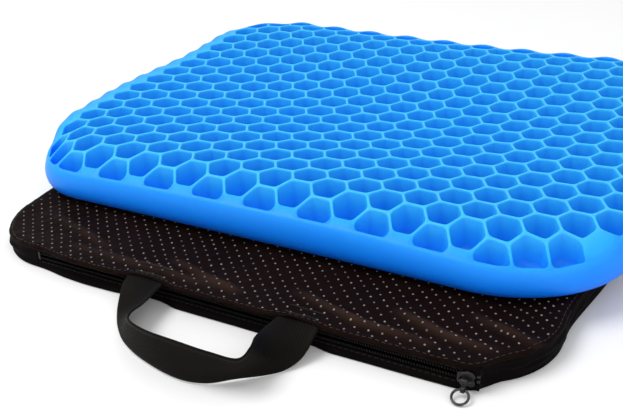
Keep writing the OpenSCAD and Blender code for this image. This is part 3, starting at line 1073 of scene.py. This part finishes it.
def add_eye(points, faces, centre, length, outer, bore, sides=22):
    """Adds a short rounded tube with a bore, lying along X."""
    bevel = 0.18 * MM
    profile = [(-length / 2, bore + bevel), (-length / 2, outer - bevel),
               (-length / 2 + bevel, outer), (length / 2 - bevel, outer),
               (length / 2, outer - bevel), (length / 2, bore + bevel),
               (length / 2 - bevel, bore), (-length / 2 + bevel, bore)]
    rings = []
    for k in range(sides):
        a = 2 * math.pi * k / sides
        rings.append([centre + Vector((along, r * math.cos(a), r * math.sin(a)))
                      for along, r in profile])
    add_rings(points, faces, rings, True)


def pull_tab():
    """A stamped tab: an eye round the bar, a tapered web, and an eye for the ring."""
    bar, ring = joint_at("tab_swing"), joint_at("ring_swing")
    points, faces = [], []
    add_eye(points, faces, bar, 3.4 * MM, 1.6 * MM, 1.0 * MM)
    add_eye(points, faces, ring, 2.0 * MM, 1.75 * MM, 1.15 * MM)
    along = (ring - bar).normalized()
    through = along.cross(Vector((1, 0, 0)))
    rings = []
    for t, half, thick in ((1.25, 1.45, 0.42), (1.6, 1.2, 0.5), (2.1, 1.0, 0.5), (2.6, 0.95, 0.42)):
        middle = bar + along * t * MM
        rings.append([middle + Vector((half * u * MM, 0, 0)) + through * thick * v * MM
                      for u, v in ((-1, -0.5), (-0.8, -1), (0.8, -1), (1, -0.5),
                                   (1, 0.5), (0.8, 1), (-0.8, 1), (-1, 0.5))])
    add_rings(points, faces, rings)
    tab = make_object("pull_tab_stamped", points, faces, PAINT, False)
    smooth_by_angle(tab)
    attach(tab, "tab")
    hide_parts("pull_tab")


def pull_ring():
    """A wire ring hung in the tab, its ends butted together at one side."""
    hinge = joint_at("ring_swing")
    low, high, _ = node_box("pull_ring")
    wire = 0.65 * MM
    radius = (high.x - low.x) / 2 - wire
    slope = math.asin((hinge.z - low.z - wire) / (2 * radius))
    away = Vector((0, -math.cos(slope), -math.sin(slope)))
    centre = hinge + away * radius
    path, radii = [], []
    for k in range(72):
        a = 2 * math.pi * k / 72
        path.append(centre + radius * (math.cos(a) * Vector((1, 0, 0)) + math.sin(a) * away))
        radii.append(wire * (0.8 if k == 9 else 1))
    points, faces = [], []
    add_tube(points, faces, path, radii, 14, True)
    ring = make_object("pull_ring_wire", points, faces, STEEL)
    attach(ring, "ring")
    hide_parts("pull_ring")


# ---------------------------------------------------------------- handle

HANDLE_X = sum(ROOTS) / 2
HANDLE_Y = -148.6 * MM                         # where the webbing leaves the seam
WEBBING_HALF = 12.5 * MM
WEBBING_THICK = 1.6 * MM
TWILL = 2.2 * MM                               # from rib to rib, along the strap
TWILL_RELIEF = 0.27                            # height of the ribs, in millimetres
ROUTE = [                                      # inner edge, outer edge: right, ahead, up, in mm
    ((-36.5, -2.6, 13), (-61.5, -2.6, 13)),
    ((-36.5, 0, 13), (-61.5, 0, 13)),
    ((-36, 8, 13.4), (-61, 7, 11.2)),
    ((-35, 16, 14), (-58.5, 14, 6.5)),
    ((-34, 25, 15), (-54.5, 21.5, 2.5)),
    ((-31, 36, 19), (-46.5, 31, 1)),
    ((-24, 46, 22.5), (-34.5, 40.5, 0.8)),
    ((-9, 51.5, 24.5), (-17, 48, 0.6)),
    ((10, 53, 25), (6.5, 52.5, 0.4)),
    ((29, 53, 24.5), (22.5, 50, 0.5)),
    ((43.5, 50, 22.5), (35, 41, 1.2)),
    ((45, 40, 22), (46.5, 32, 1.5)),
    ((41.5, 29.5, 20), (54, 24, 2)),
    ((38.5, 19.5, 17), (59, 16, 4.5)),
    ((37, 9.5, 14.4), (61, 8, 9.5)),
    ((36.5, 0, 13), (61.5, 0, 13)),
    ((36.5, -2.6, 13), (61.5, -2.6, 13)),
]


def route_edges(s):
    """The webbing's inner and outer edges, s rows along the route, in the row frame."""
    rows = np.array(ROUTE, float) * MM
    i = min(int(s), len(rows) - 2)
    t = s - i
    a, b, c, d = (rows[min(max(k, 0), len(rows) - 1)] for k in (i - 1, i, i + 1, i + 2))
    at = b + (c - a) * t / 2 + (2 * a - 5 * b + 4 * c - d) * t ** 2 / 2 \
        + (3 * b - a - 3 * c + d) * t ** 3 / 2
    return np.column_stack((HANDLE_X + at[:, 0], HANDLE_Y - at[:, 1], at[:, 2]))


def handle():
    """The webbing strap, swept along its route, with twill ribs and firmer edges."""
    coarse = np.arange(0, len(ROUTE) - 1 + 1e-9, 0.05)
    edges = np.array([route_edges(s) for s in coarse])
    middle = edges.mean(axis=1)
    along = distances(middle)
    places = np.arange(0, along[-1], 0.55 * MM)

    def even(values):
        return np.column_stack([np.interp(places, along, values[:, k]) for k in range(3)])

    def side_points(at, side, normal, place, lean):
        rib = np.sin(2 * math.pi * (place + lean * columns * WEBBING_HALF) / TWILL)
        height = half + (TWILL_RELIEF * rib * flat + 0.12 * selvedge - 0.16) * MM
        return [at + side * c * WEBBING_HALF + lean * normal * h for c, h in zip(columns, height)]

    middle, inner, outer = even(middle), even(edges[:, 0]), even(edges[:, 1])
    across = unit(inner - outer)
    through = unit(np.cross(across, np.gradient(middle, axis=0)))
    columns = np.linspace(-1, 1, 47)
    reach = np.abs(columns) * WEBBING_HALF
    selvedge = np.exp(-((reach - 11.2 * MM) / (0.9 * MM)) ** 2)
    half = WEBBING_THICK / 2 * np.sqrt(np.clip((WEBBING_HALF - reach) / (0.8 * MM), 0.04, 1))
    flat = np.clip((WEBBING_HALF - reach - 2 * MM) / (1.2 * MM), 0, 1)
    rings = []
    for row in zip(middle, across, through, places):
        rings.append(side_points(*row, 1) + side_points(*row, -1)[::-1])
    points, faces = [], []
    add_rings(points, faces, rings)
    strap = make_object("handle_strap", points, faces, WEBBING)
    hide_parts("handle_webbing")
    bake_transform(strap)


def bartacks():
    """Two bars of dense zigzag stitching over each sewn end of the handle."""
    low, high, _ = node_box("handle_stitching")
    thread = 0.2 * MM
    points, faces = [], []
    for root in ROOTS:
        for y in (low.y + 0.7 * MM, high.y - 0.7 * MM):
            count = 46
            path = []
            for k in range(count + 1):
                x = root - 10 * MM + 20 * MM * k / count
                at_y = y + (0.6 if k % 2 else -0.6) * MM
                inset = at_y + COVER_HALF.y
                height = float(panel_top(np.array(x), np.array(at_y), np.array(inset)))
                path.append((x, at_y, height + 0.12 * MM))
            add_tube(points, faces, path, [thread] * len(path), 6)
    tacks = make_object("bartacks", points, faces, THREAD)
    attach(tacks, "cover")
    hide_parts("handle_stitching")


def dress(node, material):
    """Gives a CAD node that keeps its shape its own material."""
    for slot in bpy.data.objects[node].material_slots:
        slot.material = material


# ---------------------------------------------------------------- stage

def camera():
    """The camera, placed by where it stands and where it looks."""
    data = bpy.data.cameras.new("camera")
    data.lens = 51.16
    data.sensor_width = 36
    data.clip_start, data.clip_end = 0.01, 20
    obj = bpy.data.objects.new("camera", data)
    azimuth, elevation, roll = (math.radians(a) for a in (-29.02, 28.35, -2.51))
    ahead = Vector((math.sin(azimuth) * math.cos(elevation),
                    math.cos(azimuth) * math.cos(elevation), -math.sin(elevation)))
    level = Vector((math.cos(azimuth), -math.sin(azimuth), 0))
    up = level.cross(ahead)
    right = math.cos(roll) * level + math.sin(roll) * up
    upright = math.cos(roll) * up - math.sin(roll) * level
    obj.matrix_world = Matrix.Translation((0.2378, -0.4734, 0.2823)) @ Matrix(
        (right, upright, -ahead)).transposed().to_4x4()
    bpy.context.scene.collection.objects.link(obj)
    bpy.context.scene.camera = obj


def area_light(name, place, aim, size, power):
    """A round soft light that faces its aim."""
    data = bpy.data.lights.new(name, "AREA")
    data.shape = "DISK"
    data.size = size
    data.energy = power
    obj = bpy.data.objects.new(name, data)
    obj.location = place
    obj.rotation_euler = (Vector(aim) - Vector(place)).to_track_quat("-Z", "Y").to_euler()
    bpy.context.scene.collection.objects.link(obj)


def studio():
    """A pale floor, an even white surround and soft lights."""
    s = Shader("studio_floor", Roughness=0.9)
    s.colour(s.ramp(s.noise(s.place(), 3), [(0.0, (0.86, 0.86, 0.86)), (1.0, (0.9, 0.9, 0.9))]))
    half = 6.0
    floor = make_object("studio_floor", [(-half, -half, 0), (half, -half, 0), (half, half, 0),
                                         (-half, half, 0)], [(0, 1, 2, 3)], s.material)
    floor.location.z = -0.0004
    world = bpy.data.worlds.new("studio")
    world.use_nodes = True
    world.node_tree.nodes["Background"].inputs["Color"].default_value = (1, 1, 1, 1)
    world.node_tree.nodes["Background"].inputs["Strength"].default_value = 0.75
    bpy.context.scene.world = world
    area_light("key", (-0.7, -0.5, 1.5), (0, 0.05, 0), 1.0, 16)
    area_light("fill", (1.2, -1.0, 1.0), (0, 0, 0), 1.4, 6)
    bpy.context.scene.view_settings.view_transform = "Standard"


camera()
studio()
gel_pad()
bottom_panel()
side_band(zip_band("zip_band_lower_cloth", "zip_band_lower", LOWER_LIP, BAND_LOW.z, 0.28)
          + zip_band("zip_band_upper_cloth", "zip_band_upper", UPPER_LIP, BAND_HIGH.z, 0.28))
top_panel()
zip_coil("zip_coil_lower", "zipper_teeth_lower", 0)
zip_coil("zip_coil_upper", "zipper_teeth_upper", math.pi)
slider()
pull_tab()
pull_ring()
handle()
bartacks()
for tape_node in ("zipper_tape_upper", "zipper_tape_lower"):
    dress(tape_node, TAPE)
for stop_node in ("zipper_top_stops", "zipper_bottom_stop"):
    dress(stop_node, PAINT)
for end_node in ("handle_end_left", "handle_end_right"):
    dress(end_node, WEBBING)
